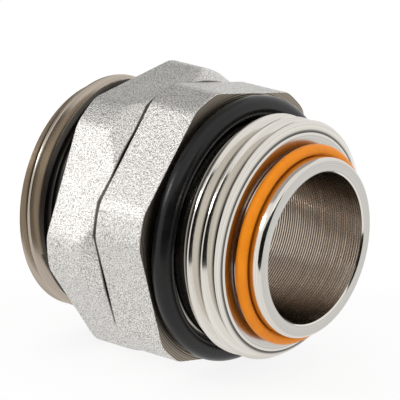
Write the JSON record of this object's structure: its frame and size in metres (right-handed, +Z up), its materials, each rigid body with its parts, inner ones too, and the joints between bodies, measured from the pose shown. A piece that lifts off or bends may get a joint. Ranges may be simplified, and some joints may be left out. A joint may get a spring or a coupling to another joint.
{
  "type": "swivel double nipple",
  "caption": "Pipe fitting with a male thread at both ends and a turning hexagon sleeve in front, with face seal rings and a ringed nose.",
  "frame": {"origin": "on the bore axis, halfway between the rear end face and the nose", "axes": "+X along the bore towards the nose, +Z up as the fitting lies on its hexagons, +Y to the left when looking along +X"},
  "size_m": [0.0392, 0.0402, 0.039],
  "materials": {
    "nickel_plated_body": "nickel plated; hexagon blasted, threads and nose turned",
    "nickel_plated_sleeve": "nickel plated; hexagon blasted, thread and faces turned",
    "spring_wire": "drawn wire",
    "black_rubber": "smooth, slightly glossy",
    "orange_rubber": "smooth, satin"
  },
  "bodies": {
    "main_body": {"nipple_body": "nickel_plated_body", "rear_o_ring": "black_rubber", "nose_o_ring": "orange_rubber"},
    "sleeve": {"swivel_sleeve": "nickel_plated_sleeve", "front_o_ring": "black_rubber", "retaining_ring": "spring_wire"}
  },
  "joints": [
    {"name": "sleeve_turn", "type": "hinge", "parent": "main_body", "child": "sleeve", "pos_m": [0, 0, 0], "axis": [1, 0, 0], "continuous": true}
  ]
}
